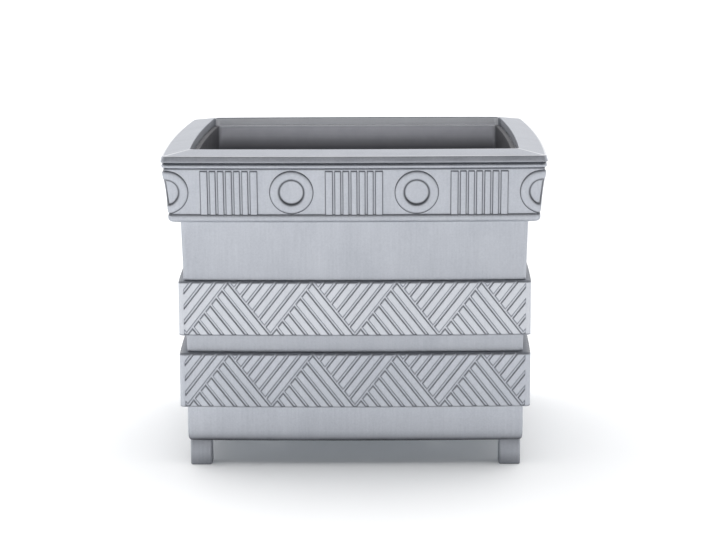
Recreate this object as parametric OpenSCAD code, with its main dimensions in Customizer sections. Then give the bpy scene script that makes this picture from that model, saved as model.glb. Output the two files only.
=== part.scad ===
// Square planter of cast aluminium: a moulded rim with a fluted frieze, a tapering wall with two
// raised bands of slanting bars, four short feet and a liner that lifts out.
// Every side swells a little: its faces are arcs about one upright axis far behind the side, so a
// face is named by its half width, the distance from the centre line to its corner.

/* [Overall] */
// Width over the rim's upper bead, from corner to corner
planter_w = 600; // [560:5:680]
// How far the middle of each side stands out past its corners
side_bow = 8; // [4:1:14]
// Wall of the castings
wall_t = 6; // [5:0.5:7]
// Rounding of the upright corners
corner_r = 7; // [5:0.5:9]

/* [Heights, from the floor up] */
// Height of the feet
foot_h = 42; // [30:1:70]
// Plain base under the lower band
base_h = 57; // [50:1:90]
// Height of each band of slanting bars
band_h = 87; // [75:1:110]
// Plain wall between the two bands
waist_h = 28.5; // [24:0.5:60]
// Plain wall above the upper band
collar_h = 94; // [70:1:150]
// Half-round lip under the frieze
lip_h = 14.5; // [13:0.5:18]
// Frieze of flutes and roundels
frieze_h = 68.5; // [60:0.5:80]
// Two beads over the frieze
cornice_h = 22; // [20:0.5:26]
// Rise of the rim's sloping top from its outer to its inner edge
rim_rise = 6.5; // [4:0.5:12]

/* [How far each face stands in from the upper bead] */
// Inner edge of the rim
rim_w = 42.5; // [40:0.5:46]
// Outer edge of the rim's sloping top
slope_in = 3.8; // [3:0.2:5]
// Top of the frieze
frieze_top_in = 4.2; // [3.8:0.2:6]
// Foot of the frieze
frieze_foot_in = 12.4; // [11:0.2:14]
// Face of the lip
lip_in = 9.8; // [9:0.2:10.6]
// Top of the plain wall
wall_top_in = 27.5; // [25:0.5:30]
// Bottom of the plain wall, just above the lower band
wall_foot_in = 34; // [31:0.5:36]
// Face of the two bands
band_in = 22.5; // [20:0.5:24]
// Face of the base
base_in = 33; // [31:0.5:35]

/* [Relief] */
// How far flutes and roundels stand out of the frieze
relief_h = 2.2; // [1.2:0.2:3]
// Flutes in each group
flutes = 7; // [5:1:8]
// Width of a flute
flute_w = 9; // [7:0.5:10]
// Gap between two flutes
flute_gap = 3.6; // [3:0.2:4.4]
// How much wider the two end flutes of a group are than the others
flute_end = 2; // [0:0.5:4]
// Gap between the flutes and the beads above them
flute_drop = 2.5; // [1:0.5:6]
// Gap between a roundel and the beads above it
roundel_gap = 1.4; // [0.6:0.2:5]
// How far a roundel reaches down over the lip
roundel_low = 1.6; // [0.4:0.2:3]
// Diameter of its sunk eye
eye_d = 40; // [30:1:50]
// Depth of the eye below the face of the frieze
eye_deep = 1.6; // [0.4:0.2:2.4]
// Zigzags across a band
waves = 4; // [3:1:5]
// Slanting bars in each zigzag
wave_bars = 7; // [5:1:8]
// Width of the grooves between the bars
groove_w = 3.6; // [3:0.2:5]
// Depth of those grooves
groove_deep = 2; // [1:0.2:2.6]
// Plain end of a band, from its corner to the outermost low point of the zigzag
band_end = 12; // [10:1:30]

/* [Joints between the castings] */
// Height of the shadow gap over each band
gap_h = 4; // [3:0.5:5]
// Depth of the shadow gap
gap_deep = 6; // [5:0.5:7]
// Thickness of the level flanges
flange_t = 6; // [5:0.5:8]
// Thickness of the lugs that meet at each corner
lug_t = 5; // [4:0.5:6]
// Diameter of the bolts through two level flanges
tier_bolt_d = 6; // [5:1:6]
// Distance from a side's middle to its outer bolts
tier_bolt_span = 190; // [120:5:200]
// Diameter of the bolts through two corner lugs
lug_bolt_d = 5; // [4:1:5]
// Room round a bolt in its hole
bolt_room = 0.3; // [0.2:0.1:0.4]

/* [Feet and floor] */
// Width of a foot
foot_w = 34; // [32:1:38]
// How far a foot stands in from the base
foot_in = 3.5; // [2:0.5:5]
// Thickness of the floor plate
plate_t = 5; // [4:0.5:8]
// Diameter of the drain holes
drain_d = 16; // [10:1:25]
// Distance from the centre to the outer drain holes
drain_span = 130; // [90:5:150]
// Diameter of the screws in the floor plate and the feet
screw_d = 6; // [5:1:6]
// Length of a foot screw below its head
foot_screw_l = 22; // [16:1:26]
// Distance from a side's middle to its floor screws
plate_screw_span = 150; // [60:5:170]

/* [Liner] */
// Depth of the liner's flange below the rim's inner edge
liner_drop = 13.5; // [12:0.5:20]
// Width of that flange, from the liner's wall to its edge
liner_flange_w = 5; // [4:0.5:6]
// Sheet that the liner is made of
liner_t = 2; // [1.5:0.5:3]
// Rounding of the liner's upright corners
liner_r = 18; // [16:1:26]
// Rounding of its flange's corners
liner_flange_r = 14; // [12:1:16]
// Gap between the liner and the castings round it
liner_gap = 1.5; // [1:0.25:2]
// Thickness of the ledge that carries the liner
ledge_t = 4; // [3:0.5:6]
// Gap between the liner's bottom and the floor plate
liner_lift = 8; // [7:1:40]

/* [Hidden] */
raw_cast = [0.72, 0.73, 0.76];
sheet_grey = [0.55, 0.55, 0.58];
steel_grey = [0.62, 0.62, 0.62];

// Levels
base_z = foot_h;
low_band_z = base_z + base_h;
low_joint_z = low_band_z + band_h;
high_band_z = low_joint_z + waist_h;
high_joint_z = high_band_z + band_h;
lip_z = high_joint_z + collar_h;
frieze_z = lip_z + lip_h;
neck_z = frieze_z + frieze_h;
slope_z = neck_z + cornice_h;
crest_z = slope_z + rim_rise;

// Half widths of the faces
bead_half = planter_w / 2;
crest_half = bead_half - rim_w;
frieze_top_half = bead_half - frieze_top_in;
frieze_foot_half = bead_half - frieze_foot_in;
wall_top_half = bead_half - wall_top_in;
wall_foot_half = bead_half - wall_foot_in;
band_half = bead_half - band_in;
base_half = bead_half - base_in;
// Half width of the tapering wall at a level
function wall_half(z) = wall_foot_half
    + (wall_top_half - wall_foot_half) * (z - low_joint_z) / (lip_z - low_joint_z);

// Fasteners: a hexagon is d * hex_k across its corners, and a head or nut d * head_k high
hex_k = 1.9;
head_k = 0.7;
nut_k = 0.8;
// Smallest gap kept between neighbours that must not touch
slack = 0.5;
// How far cutting shapes reach past what they cut
over = 1;
// How far a bolt stands out of its nut
bolt_end = 2;

// Castings inside: bolts first, then the edges of flanges and lugs, then the liner
inner_half = min(wall_foot_half, base_half) - wall_t;
tier_bolt_half = inner_half - tier_bolt_d * hex_k / 2 - slack;
flange_half = tier_bolt_half - tier_bolt_d;
lug_bolt_half = inner_half - slack
    - (lug_t + lug_bolt_d * nut_k + lug_bolt_d * hex_k / 2) / sqrt(2);
lug_half = lug_bolt_half - 1.3 * lug_bolt_d;
// The rim's own lugs stand further out, hidden under its sloping top
rim_lug_out = frieze_foot_half - wall_t - inner_half;
liner_flange_half = crest_half - liner_gap;
liner_top_half = liner_flange_half - liner_flange_w;
ledge_half = liner_top_half + liner_gap;
liner_half = min(flange_half - liner_gap,
                 lug_half + liner_r * (1 - 1 / sqrt(2)) - liner_gap,
                 liner_top_half - over);
ledge_z = crest_z - liner_drop - liner_t;
liner_z = base_z + flange_t + plate_t + liner_lift;
foot_flange_t = flange_t + gap_h / 2;
// The liner widens over the nuts that hold the rim down
shoulder_z = lip_z + foot_flange_t + nut_k * tier_bolt_d + bolt_end + liner_gap;
foot_at = base_half - foot_in - foot_w / 2;
screw_off = foot_w / 4;
screw_head_r = screw_d * 0.85;
// Half width of the base's bottom flange, which reaches in past the foot screws
sill_half = foot_at - screw_off - 1.1 * screw_d;
plate_half = flange_half - liner_gap;

// Swelling sides
// Distance from the centre line to the axis that a side's arcs are struck about
bow_axis = (bead_half * bead_half - side_bow * side_bow) / (2 * side_bow) - bead_half;
// Radius of the arc that passes through the corner at a half width
function arc_r(half) = norm([half, half + bow_axis]);
// Angle by which a side leans back at its corner
corner_lean = asin(bead_half / arc_r(bead_half));
sweep_a = 2 * atan(1.3 * bead_half / (bead_half + bow_axis));

// A profile of [half width, level] points struck along the front side
module struck(profile) {
    translate([0, bow_axis, 0])
        rotate([0, 0, -90 - sweep_a / 2])
            rotate_extrude(angle = sweep_a, $fn = 960)
                polygon([for (p = profile) [arc_r(p[0]), p[1]]]);
}

// The quarter of the plan that belongs to the front side, mitred at both ends
module mitre_wedge() {
    reach = planter_w;
    linear_extrude(crest_z + over)
        polygon([[0, 0], [reach, -reach], [-reach, -reach]]);
}

// What rounding takes off the front side's right corner, seen in plan from the corner
module corner_shaving(r) {
    half_angle = 45 + corner_lean;
    bite = 0.15;
    back = r / sin(half_angle) - bite;
    touch = r / tan(half_angle);
    tx = back - touch * cos(half_angle);
    ty = touch * sin(half_angle);
    reach = 1.6;
    rotate(-45) translate([-back, 0]) difference() {
        polygon([[0, 0], [tx * reach, -ty * reach], [back * reach + r, 0], [tx * reach, ty * reach]]);
        circle(r, $fn = 48);
    }
}

// The shaving between two levels, leaning as the corner does
module corner_cutter(half_low, z_low, half_high, z_high, r) {
    lean = atan((half_high - half_low) * sqrt(2) / (z_high - z_low));
    for (side = [0, 1])
        mirror([side, 0, 0])
            translate([half_low, -half_low, z_low])
                rotate(lean, [1, 1, 0])
                    linear_extrude(z_high - z_low) corner_shaving(r);
}

// Rounds the corner of its children between two levels
module rounded(half_low, z_low, half_high, z_high, r = corner_r) {
    difference() {
        children();
        corner_cutter(half_low, z_low, half_high, z_high, r);
    }
}

// A lug along the mitre at both ends, from its inner edge out to a face of the given half width
module corner_lugs(z_low, z_high, out_half, in_half = lug_half) {
    step = lug_t / sqrt(2);
    for (side = [0, 1])
        mirror([side, 0, 0])
            translate([0, 0, z_low])
                linear_extrude(z_high - z_low)
                    polygon([[in_half, -in_half], [out_half, -out_half],
                             [out_half - 2 * step, -out_half],
                             [in_half - step, -in_half - step]]);
}

// Places its children at a corner bolt, with +Z out of the front side's right lug
module at_lug_bolt(z) {
    half = lug_bolt_half + (z > frieze_z ? rim_lug_out : 0);
    translate([half, -half, z]) rotate([0, 0, 45]) rotate([0, 90, 0]) children();
}

module lug_holes(z) {
    for (side = [0, 1])
        mirror([side, 0, 0])
            at_lug_bolt(z)
                cylinder(h = 4 * lug_t, r = lug_bolt_d / 2 + bolt_room, center = true, $fn = 32);
}

tier_bolt_xs = [-tier_bolt_span, 0, tier_bolt_span];
// Distance of a bolt from the centre line, on the arc through its half width
function arc_y(half, x) = bow_axis - sqrt(pow(arc_r(half), 2) - x * x);

module tier_holes(z) {
    for (x = tier_bolt_xs)
        translate([x, arc_y(tier_bolt_half, x), z])
            cylinder(h = 6 * flange_t, r = tier_bolt_d / 2 + bolt_room, center = true, $fn = 32);
}

module on_side(index) {
    rotate([0, 0, 90 * index]) children();
}

// Bolt levels at the corners: rim, collar, upper band, lower band, base
frieze_mid_z = (frieze_z + neck_z) / 2;
lug_bolt_zs = [frieze_mid_z, (high_joint_z + lip_z) / 2,
               high_band_z + band_h / 2, low_band_z + band_h / 2,
               (base_z + flange_t + low_band_z) / 2];

// Rim

// Points of a half-round bead from its top to its bottom
function bead(half, z_top, z_bottom) = let (r = (z_top - z_bottom) / 2)
    [for (a = [90 : -15 : -90]) [half - r + r * cos(a), (z_top + z_bottom) / 2 + r * sin(a)]];

lip_half = bead_half - lip_in;
lip_r = lip_h / 2;
lip_mid_z = lip_z + lip_r;
// Slope of the lip where the frieze stands on it, as an angle round the lip
lip_top_a = acos((frieze_foot_half - lip_half + lip_r) / lip_r);
bead_notch = 0.8;
fascia_h = (cornice_h - 3 * bead_notch) * 0.42;
second_top_z = slope_z - fascia_h - 2 * bead_notch;
second_foot_z = neck_z + 3.4;
notch_half = frieze_top_half;

rim_profile = concat(
    [[crest_half, crest_z - 1], [crest_half + 1, crest_z],
     [bead_half - slope_in, slope_z], [bead_half - slope_in, slope_z - 0.6],
     [bead_half - 2.4, slope_z - 0.9], [bead_half, slope_z - fascia_h + 1],
     [bead_half - 0.8, slope_z - fascia_h], [notch_half, slope_z - fascia_h - bead_notch]],
    bead(bead_half - 1.4, second_top_z, second_foot_z),
    [[notch_half, second_foot_z - bead_notch], [notch_half, neck_z],
     [frieze_foot_half, frieze_z]],
    [for (step = [0 : 8]) let (a = lip_top_a - (lip_top_a + 90) * step / 8)
        [lip_half - lip_r + lip_r * cos(a), lip_mid_z + lip_r * sin(a)]],
    [[flange_half, lip_z], [flange_half, lip_z + foot_flange_t],
     [frieze_foot_half - wall_t, lip_z + foot_flange_t],
     [frieze_foot_half - wall_t, frieze_z],
     [frieze_top_half - wall_t, neck_z],
     [frieze_top_half - wall_t, slope_z - wall_t],
     [crest_half + wall_t, crest_z - wall_t],
     [crest_half + wall_t, ledge_z - ledge_t], [ledge_half, ledge_z - ledge_t],
     [ledge_half, ledge_z], [crest_half, ledge_z]]);

roundel_pitch = 2 * (frieze_top_half + frieze_foot_half) / 2 / 3;
roundel_d = frieze_h - roundel_gap + roundel_low;
roundel_z = neck_z - roundel_gap - roundel_d / 2;
flute_group_w = flutes * flute_w + (flutes - 1) * flute_gap;

module at_roundels() {
    for (place = [-1.5, -0.5, 0.5, 1.5]) translate([place * roundel_pitch, roundel_z]) children();
}

// The frieze's ornament, flat, as seen from in front
module frieze_pattern() {
    flute_l = neck_z - flute_drop - lip_mid_z;
    for (group = [-1, 0, 1]) translate([group * roundel_pitch - flute_group_w / 2, lip_mid_z]) {
        for (i = [0 : flutes - 1])
            translate([i * (flute_w + flute_gap), 0]) square([flute_w, flute_l]);
        for (x = [-flute_end, flute_group_w - over])
            translate([x, 0]) square([flute_end + over, flute_l]);
    }
    at_roundels() circle(d = roundel_d, $fn = 96);
}

// A flat pattern pushed back through the front wall
module through_front(depth) {
    translate([0, -bead_half + depth, 0])
        rotate([90, 0, 0]) linear_extrude(depth + side_bow + 20) children();
}

module frieze_relief() {
    intersection() {
        through_front(60) frieze_pattern();
        struck([[frieze_foot_half - lip_r, lip_mid_z],
                [frieze_foot_half + relief_h - over, lip_mid_z],
                [frieze_foot_half + relief_h, frieze_z], [frieze_top_half + relief_h, neck_z],
                [frieze_top_half - over, neck_z], [frieze_foot_half - over, frieze_z]]);
    }
}

// What is cut out for the eyes of the roundels
module eyes() {
    intersection() {
        through_front(60) at_roundels() circle(d = eye_d, $fn = 64);
        struck([[frieze_foot_half - eye_deep, frieze_z], [bead_half, frieze_z],
                [bead_half, neck_z], [frieze_top_half - eye_deep, neck_z]]);
    }
}

module rim_side() {
    difference() {
        intersection() {
            union() {
                struck(rim_profile);
                frieze_relief();
                corner_lugs(lip_z + over, frieze_mid_z, frieze_foot_half - over,
                            lug_half + rim_lug_out);
                corner_lugs(frieze_mid_z - over, ledge_z - ledge_t + over,
                            (frieze_foot_half + frieze_top_half) / 2 - over / 2,
                            lug_half + rim_lug_out);
            }
            mitre_wedge();
        }
        eyes();
        corner_cutter(lip_half, lip_z - over, lip_half, frieze_z, corner_r);
        corner_cutter(frieze_foot_half + relief_h, frieze_z,
                      frieze_top_half + relief_h, neck_z, corner_r);
        corner_cutter(bead_half, neck_z, bead_half, crest_z + over, corner_r);
        lug_holes(lug_bolt_zs[0]);
        tier_holes(lip_z);
    }
}

// Plain wall above the upper band. Like the castings below it, it ends over its bottom flange,
// so that a dark gap shows above the band that it stands on.

// Points of the outer end of a wall that stands on the joint at the given level, down to its
// bottom flange, and back up to its inner face
function wall_foot(joint_z) = let (top_z = joint_z + foot_flange_t,
                                   back = wall_half(joint_z) - gap_deep)
    [[wall_half(joint_z + gap_h), joint_z + gap_h], [back, joint_z + gap_h], [back, joint_z],
     [flange_half, joint_z], [flange_half, top_z], [wall_half(top_z) - wall_t, top_z]];

// Points of a top flange, from the inner face of the wall below it
function top_flange(inner, z) = [[inner, z - flange_t], [flange_half, z - flange_t],
                                 [flange_half, z]];

collar_profile = concat(
    [[wall_half(lip_z), lip_z]], wall_foot(high_joint_z),
    top_flange(wall_half(lip_z - flange_t) - wall_t, lip_z));
collar_mid_z = (high_joint_z + lip_z) / 2;

module collar_side() {
    difference() {
        intersection() {
            union() {
                struck(collar_profile);
                corner_lugs(high_joint_z + gap_h + over, collar_mid_z,
                            wall_half((high_joint_z + collar_mid_z) / 2) - wall_t / 2);
                corner_lugs(collar_mid_z - over, lip_z - over,
                            wall_half((collar_mid_z + lip_z) / 2) - wall_t / 2);
            }
            mitre_wedge();
        }
        corner_cutter(wall_half(high_joint_z), high_joint_z, wall_half(lip_z), lip_z + over,
                      corner_r);
        lug_holes(lug_bolt_zs[1]);
        tier_holes(high_joint_z);
        tier_holes(lip_z);
    }
}

// Bands of slanting bars

band_edge_r = 2;
band_back_half = band_half - groove_deep - wall_t;
// Points of a band's face, from its top edge to its bottom edge
function band_face(z_low) = let (e = band_edge_r, z_top = z_low + band_h)
    concat([for (a = [90 : -30 : 0]) [band_half - e + e * cos(a), z_top - e + e * sin(a)]],
           [for (a = [0 : -30 : -90]) [band_half - e + e * cos(a), z_low + e + e * sin(a)]]);

wave_w = 2 * (band_half - band_end) / waves;
groove_foot = 1.8;
pattern_h = band_h - groove_foot;
// Width of a groove measured level
groove_level_w = groove_w * norm([wave_w / 2, pattern_h]) / pattern_h;

// Groove i of a wave, seen from in front and lying level at first: those that lean left stand on
// the band's bottom edge and end on the outermost groove of the wave to their left that leans
// right, and those that lean right hang from its top edge and end on the outermost left one.
module groove(i, lean) {
    share = i / wave_bars;
    half = groove_level_w / 2;
    through = 1 + over / pattern_h;
    function low(s) = lean < 0 || i == 0 ? 0 : share - s / wave_w;
    function high(s) = lean > 0 || i == 0 ? through : 1 - share + s / wave_w;
    function point(s, t) = [-share * wave_w + lean * t * wave_w / 2 + s, t * pattern_h];
    polygon([point(-half, low(-half)), point(half, low(half)),
             point(half, high(half)), point(-half, high(-half))]);
}

module band_grooves(z_low, lean) {
    clear = band_half - corner_r;
    intersection() {
        through_front(60) translate([0, z_low + groove_foot]) intersection() {
            translate([-clear, 0]) square([2 * clear, pattern_h + over]);
            for (place = [-ceil(waves / 2) : ceil(waves / 2) + 1], i = [0 : wave_bars - 1])
                translate([(place - (waves % 2) / 2) * wave_w, 0]) groove(i, lean);
        }
        struck([[band_half - groove_deep, z_low], [bead_half, z_low],
                [bead_half, z_low + band_h + 2 * over],
                [band_half - groove_deep, z_low + band_h + 2 * over]]);
    }
}

// Cuts the grooves into its children, one lean after the other
module grooved(z_low) {
    difference() {
        difference() {
            children();
            band_grooves(z_low, -1);
        }
        band_grooves(z_low, 1);
    }
}

// Points of the band behind its face, from the foot of the wall below it up to its top flange
function band_back(half, z_low) =
    concat([[half - wall_t / 2, z_low], [band_back_half, z_low + wall_t]],
           top_flange(band_back_half, z_low + band_h));

waist_top_half = wall_half(high_band_z);
waist_profile = concat(
    [[waist_top_half, high_band_z + over]], wall_foot(low_joint_z),
    [[waist_top_half - wall_t, high_band_z + over]]);

module upper_band_side() {
    difference() {
        grooved(high_band_z) intersection() {
            union() {
                rounded(wall_half(low_joint_z), low_joint_z,
                        waist_top_half, high_band_z + 2 * over)
                    struck(waist_profile);
                rounded(band_half, high_band_z - over, band_half, high_joint_z + over)
                    struck(concat(band_face(high_band_z), band_back(waist_top_half, high_band_z)));
                corner_lugs(low_joint_z + gap_h + over, high_band_z + 2 * over,
                            wall_half((low_joint_z + high_band_z) / 2) - wall_t / 2);
                corner_lugs(high_band_z + over, high_joint_z - over,
                            band_back_half + wall_t / 2);
            }
            mitre_wedge();
        }
        lug_holes(lug_bolt_zs[2]);
        tier_holes(low_joint_z);
        tier_holes(high_joint_z);
    }
}

base_edge_r = 2;
base_profile = concat(
    [[base_half, low_band_z + over]],
    [for (a = [0 : -30 : -90])
        [base_half - base_edge_r + base_edge_r * cos(a),
         base_z + base_edge_r + base_edge_r * sin(a)]],
    [[sill_half, base_z], [sill_half, base_z + flange_t], [base_half - wall_t, base_z + flange_t],
     [base_half - wall_t, low_band_z + over]]);

module base_band_side() {
    difference() {
        grooved(low_band_z) intersection() {
            union() {
                rounded(base_half, base_z - over, base_half, low_band_z + 2 * over)
                    struck(base_profile);
                rounded(band_half, low_band_z - over, band_half, low_joint_z + over)
                    struck(concat(band_face(low_band_z), band_back(base_half, low_band_z)));
                corner_lugs(base_z + over, low_band_z + 2 * over, base_half - wall_t / 2);
                corner_lugs(low_band_z + over, low_joint_z - over, band_back_half + wall_t / 2);
            }
            mitre_wedge();
        }
        lug_holes(lug_bolt_zs[3]);
        lug_holes(lug_bolt_zs[4]);
        tier_holes(low_joint_z);
        plate_screw_holes();
        foot_screw_holes();
    }
}

// Floor plate, feet and their screws

// Middle of the strip where the floor plate lies on the base's bottom flange
plate_screw_y = (arc_y(sill_half, plate_screw_span) - plate_half) / 2;
// Sum of x and y at the floor plate's cut corners, which clear the lugs and the foot screws
plate_corner = min(2 * lug_half, 2 * foot_at - sqrt(2) * screw_head_r) - 2 * sqrt(2) * slack;

module at_plate_screws() {
    for (x = [-plate_screw_span, plate_screw_span]) translate([x, plate_screw_y, 0]) children();
}

module at_foot_screws() {
    for (side = [-1, 1])
        translate([side * (foot_at - screw_off), -foot_at - screw_off, 0]) children();
}

module plate_screw_holes() {
    at_plate_screws() cylinder(h = 3 * foot_h, r = screw_d / 2 + bolt_room, $fn = 32);
}

module foot_screw_holes() {
    at_foot_screws() cylinder(h = 3 * foot_h, r = screw_d / 2 + bolt_room, $fn = 32);
}

module drain_holes(z, h) {
    for (place = [[0, 0], [1, 1], [1, -1], [-1, 1], [-1, -1]])
        translate([place[0] * drain_span, place[1] * drain_span, z])
            cylinder(h = h, d = drain_d, $fn = 48);
}

module floor_plate() {
    near = plate_corner - plate_half;
    color(raw_cast) difference() {
        translate([0, 0, base_z + flange_t])
            linear_extrude(plate_t)
                polygon([for (turn = [0 : 3], end = [-1, 1])
                    let (x = end * near, y = -plate_half, a = 90 * turn)
                        [x * cos(a) - y * sin(a), x * sin(a) + y * cos(a)]]);
        drain_holes(base_z, 3 * plate_t);
        for (index = [0 : 3]) on_side(index) plate_screw_holes();
    }
}

module foot() {
    r = min(3, corner_r);
    inset = foot_w / 2 - r;
    translate([-foot_at, -foot_at, 0]) difference() {
        linear_extrude(foot_h) union() {
            square([foot_w, 2 * inset], center = true);
            square([2 * inset, foot_w], center = true);
            for (sx = [-1, 1], sy = [-1, 1])
                translate([sx * inset, sy * inset]) circle(r, $fn = 32);
        }
        for (place = [[1, -1], [-1, 1]])
            translate([place[0] * screw_off, place[1] * screw_off,
                       foot_h + flange_t - foot_screw_l - 1])
                cylinder(h = foot_h, r = screw_d / 2 + bolt_room / 3, $fn = 32);
    }
}

// A round-headed screw, its head standing on z = 0 and its shank below
module screw(length) {
    cylinder(h = screw_d * 0.55, r = screw_head_r, $fn = 32);
    translate([0, 0, -length]) cylinder(h = length + 0.1, r = screw_d / 2, $fn = 32);
}

// Liner

module rounded_square(half, r) {
    inset = half - r;
    union() {
        square([2 * half, 2 * inset], center = true);
        square([2 * inset, 2 * half], center = true);
        for (sx = [-1, 1], sy = [-1, 1])
            translate([sx * inset, sy * inset]) circle(r, $fn = 64);
    }
}

// A block whose sides swell as the planter's do
module swelling_block(half, z_low, z_high, r) {
    core = half - 2 * r;
    inner = core - 2 * side_bow;
    translate([-core, -core, z_low]) cube([2 * core, 2 * core, z_high - z_low]);
    for (index = [0 : 3]) on_side(index)
        rounded(half, z_low - over, half, z_high + over, r)
            intersection() {
                struck([[inner, z_low], [half, z_low], [half, z_high], [inner, z_high]]);
                mitre_wedge();
            }
}

module liner() {
    top_z = ledge_z + liner_t;
    top_r = liner_flange_r - liner_flange_w;
    color(sheet_grey) difference() {
        union() {
            translate([0, 0, liner_z])
                linear_extrude(shoulder_z + liner_t / 2 - liner_z)
                    rounded_square(liner_half, liner_r);
            swelling_block(liner_top_half, shoulder_z, ledge_z + liner_t / 2, top_r);
            swelling_block(liner_flange_half, ledge_z, top_z, liner_flange_r);
        }
        translate([0, 0, liner_z + liner_t])
            linear_extrude(shoulder_z + liner_t - liner_z)
                rounded_square(liner_half - liner_t, liner_r - liner_t);
        swelling_block(liner_top_half - liner_t, shoulder_z + liner_t, top_z + over,
                       top_r - liner_t);
        drain_holes(liner_z - over, 3 * liner_t);
    }
}

// Bolts and nuts

// A hexagon bolt from z = 0: its head below, its shank through the grip and a nut above
module bolt(d, grip) {
    translate([0, 0, -head_k * d]) cylinder(h = head_k * d, r = hex_k * d / 2, $fn = 6);
    translate([0, 0, -0.1]) cylinder(h = grip + nut_k * d + bolt_end + 0.1, r = d / 2, $fn = 32);
}

module nut(d) {
    difference() {
        cylinder(h = nut_k * d, r = hex_k * d / 2, $fn = 6);
        translate([0, 0, -over]) cylinder(h = nut_k * d + 2 * over, r = d / 2 + 0.05, $fn = 32);
    }
}

module at_tier_bolts(z) {
    for (index = [0 : 3], x = tier_bolt_xs)
        on_side(index) translate([x, arc_y(tier_bolt_half, x), z]) children();
}

module corner_bolts() {
    color(steel_grey) for (index = [0 : 3], z = lug_bolt_zs)
        on_side(index) at_lug_bolt(z) translate([0, 0, -lug_t]) bolt(lug_bolt_d, 2 * lug_t);
}

module corner_nuts() {
    color(steel_grey) for (index = [0 : 3], z = lug_bolt_zs)
        on_side(index) at_lug_bolt(z) translate([0, 0, lug_t]) nut(lug_bolt_d);
}

module tier_bolts() {
    color(steel_grey) for (z = [low_joint_z, high_joint_z, lip_z])
        at_tier_bolts(z - flange_t) bolt(tier_bolt_d, flange_t + foot_flange_t);
}

module tier_nuts() {
    color(steel_grey) for (z = [low_joint_z, high_joint_z, lip_z])
        at_tier_bolts(z + foot_flange_t) nut(tier_bolt_d);
}

module floor_screws() {
    color(steel_grey) for (index = [0 : 3]) on_side(index) at_plate_screws()
        translate([0, 0, base_z + flange_t + plate_t]) screw(plate_t + flange_t - over);
}

module foot_screws() {
    color(steel_grey) for (index = [0 : 3]) on_side(index) at_foot_screws()
        translate([0, 0, base_z + flange_t]) screw(foot_screw_l);
}

// The pieces of each side

module rim_front() { color(raw_cast) on_side(0) rim_side(); }
module rim_right() { color(raw_cast) on_side(1) rim_side(); }
module rim_back() { color(raw_cast) on_side(2) rim_side(); }
module rim_left() { color(raw_cast) on_side(3) rim_side(); }
module collar_wall_front() { color(raw_cast) on_side(0) collar_side(); }
module collar_wall_right() { color(raw_cast) on_side(1) collar_side(); }
module collar_wall_back() { color(raw_cast) on_side(2) collar_side(); }
module collar_wall_left() { color(raw_cast) on_side(3) collar_side(); }
module upper_band_front() { color(raw_cast) on_side(0) upper_band_side(); }
module upper_band_right() { color(raw_cast) on_side(1) upper_band_side(); }
module upper_band_back() { color(raw_cast) on_side(2) upper_band_side(); }
module upper_band_left() { color(raw_cast) on_side(3) upper_band_side(); }
module base_band_front() { color(raw_cast) on_side(0) base_band_side(); }
module base_band_right() { color(raw_cast) on_side(1) base_band_side(); }
module base_band_back() { color(raw_cast) on_side(2) base_band_side(); }
module base_band_left() { color(raw_cast) on_side(3) base_band_side(); }
module foot_front_left() { color(raw_cast) on_side(0) foot(); }
module foot_front_right() { color(raw_cast) on_side(1) foot(); }
module foot_back_right() { color(raw_cast) on_side(2) foot(); }
module foot_back_left() { color(raw_cast) on_side(3) foot(); }

rim_front();
rim_right();
rim_back();
rim_left();
collar_wall_front();
collar_wall_right();
collar_wall_back();
collar_wall_left();
upper_band_front();
upper_band_right();
upper_band_back();
upper_band_left();
base_band_front();
base_band_right();
base_band_back();
base_band_left();
floor_plate();
foot_front_left();
foot_front_right();
foot_back_left();
foot_back_right();
liner();
corner_bolts();
corner_nuts();
tier_bolts();
tier_nuts();
floor_screws();
foot_screws();
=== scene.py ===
import math
import bpy
import numpy as np
from mathutils import Matrix
from mathutils.geometry import tessellate_polygon


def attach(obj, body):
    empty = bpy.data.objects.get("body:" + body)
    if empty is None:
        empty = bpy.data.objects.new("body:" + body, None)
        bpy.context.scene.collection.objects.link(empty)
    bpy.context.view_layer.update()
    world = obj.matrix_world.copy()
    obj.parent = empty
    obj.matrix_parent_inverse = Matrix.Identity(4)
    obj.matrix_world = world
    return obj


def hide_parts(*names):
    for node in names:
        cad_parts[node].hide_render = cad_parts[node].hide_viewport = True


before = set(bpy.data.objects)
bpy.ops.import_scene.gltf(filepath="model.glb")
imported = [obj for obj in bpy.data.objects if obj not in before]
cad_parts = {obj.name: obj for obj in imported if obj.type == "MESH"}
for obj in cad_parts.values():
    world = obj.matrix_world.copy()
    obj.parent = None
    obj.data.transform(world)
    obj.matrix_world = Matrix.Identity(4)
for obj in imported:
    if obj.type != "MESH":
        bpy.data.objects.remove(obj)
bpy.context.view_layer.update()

print("frame loaded")

root2 = math.sqrt(2)
toMetres = 0.001
near = 0.1   # millimetres by which a row still counts as on a line
crease = math.radians(35)
quarterTurns = ((1, 0), (0, 1), (-1, 0), (0, -1))   # cosine and sine of each

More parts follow.
